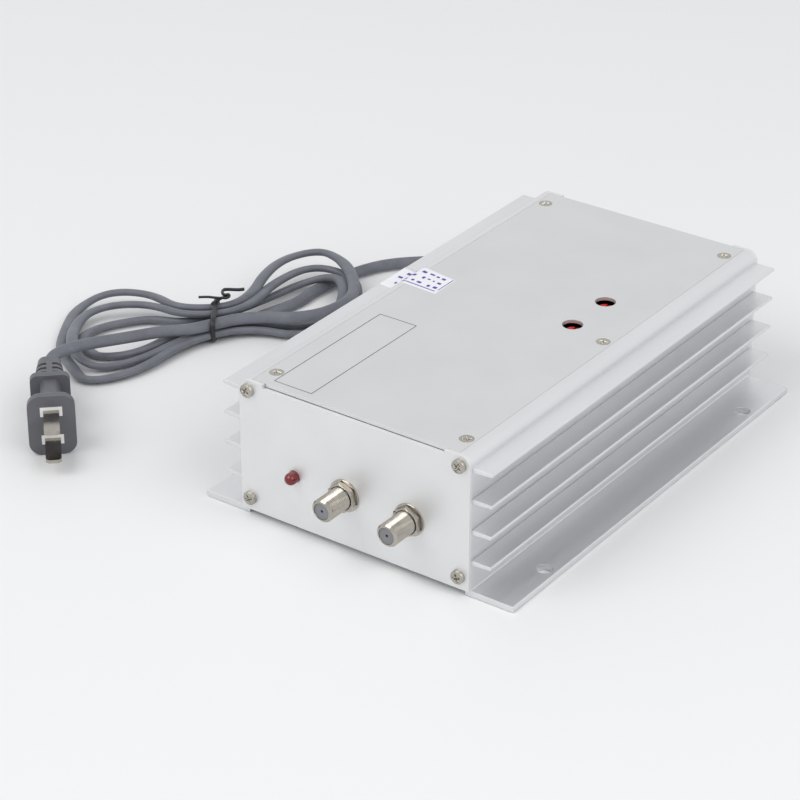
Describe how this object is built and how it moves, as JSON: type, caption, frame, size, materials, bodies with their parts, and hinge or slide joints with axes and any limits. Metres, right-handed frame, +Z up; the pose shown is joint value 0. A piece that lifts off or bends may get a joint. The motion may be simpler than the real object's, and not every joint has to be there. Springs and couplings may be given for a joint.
{
  "type": "tv signal amplifier",
  "caption": "Mains-powered TV signal amplifier in a finned aluminium case, with threaded coax ports at both ends, two screwdriver trimmers under the cover and its cord tied in a hank.",
  "frame": {"origin": "on the surface under the case, midway along and across the case without its cord", "axes": "+X across the case to its right side, +Y along the case to its rear plate, +Z up"},
  "size_m": [0.2925, 0.2943, 0.06],
  "materials": {
    "anodised_body": "satin, extruded, silver anodised",
    "satin_sheet": "fine satin, silver anodised sheet",
    "zinc_steel": "zinc plated",
    "nickel": "bright nickel plate",
    "grey_plastic": "matte",
    "contact_brass": "plain",
    "red_lens": "clear tinted lens",
    "red_plastic": "gloss",
    "blue_plastic": "semi gloss",
    "board_laminate": "lacquered laminate",
    "core_iron": "varnished laminations",
    "bobbin_plastic": "matte",
    "winding_copper": "enamelled",
    "green_plastic": "matte",
    "fuse_glass": "clear tube with metal caps",
    "black_plastic": "matte",
    "module_aluminium": "plain",
    "ferrite": "dull sintered",
    "cord_rubber": "satin flexible cord and mouldings",
    "tie_plastic": "plastic coated wire",
    "pale_plastic": "matte"
  },
  "bodies": {
    "amplifier": {"heatsink_housing": "anodised_body", "top_cover": "satin_sheet", "top_cover_screws": "zinc_steel", "front_plate": "satin_sheet", "rear_plate": "satin_sheet", "front_plate_screws": "nickel", "rear_plate_screws": "nickel", "front_test_connector": "nickel", "output_connector": "nickel", "rear_test_connector": "nickel", "input_connector": "nickel", "connector_nuts": "nickel", "connector_washers": "nickel", "connector_insulators": "grey_plastic", "connector_contacts": "contact_brass", "power_led": "red_lens", "led_leads": "zinc_steel", "circuit_board": "board_laminate", "board_standoffs": "contact_brass", "board_screws": "zinc_steel", "attenuator_pot": "blue_plastic", "tilt_pot": "blue_plastic", "pot_terminals": "zinc_steel", "transformer_core": "core_iron", "transformer_bobbin": "bobbin_plastic", "transformer_windings": "winding_copper", "mains_terminal": "green_plastic", "mains_leads": "cord_rubber", "mains_fuse": "fuse_glass", "fuse_clips": "zinc_steel", "bridge_rectifier": "black_plastic", "filter_capacitors": "black_plastic", "voltage_regulator": "black_plastic", "regulator_screw": "zinc_steel", "amplifier_module": "module_aluminium", "module_pins": "zinc_steel", "module_screws": "zinc_steel", "ferrite_transformers": "ferrite", "ferrite_windings": "winding_copper", "small_capacitors": "black_plastic", "shield_wall": "zinc_steel", "cord_strain_relief": "cord_rubber", "lead_cord": "cord_rubber", "cord_hank": "cord_rubber", "plug_cord": "cord_rubber", "twist_tie": "tie_plastic", "plug_body": "cord_rubber", "plug_inserts": "pale_plastic", "plug_blades": "nickel"},
    "attenuator": {"attenuator_shaft": "red_plastic"},
    "tilt": {"tilt_shaft": "red_plastic"}
  },
  "joints": [
    {"name": "tilt_turn", "type": "hinge", "parent": "amplifier", "child": "tilt", "pos_m": [0.0265, 0.0052, 0.05], "axis": [0, 0, 1], "range_deg": [-140, 140]},
    {"name": "attenuator_turn", "type": "hinge", "parent": "amplifier", "child": "attenuator", "pos_m": [0.0265, 0.0296, 0.05], "axis": [0, 0, 1], "range_deg": [-140, 140]}
  ]
}
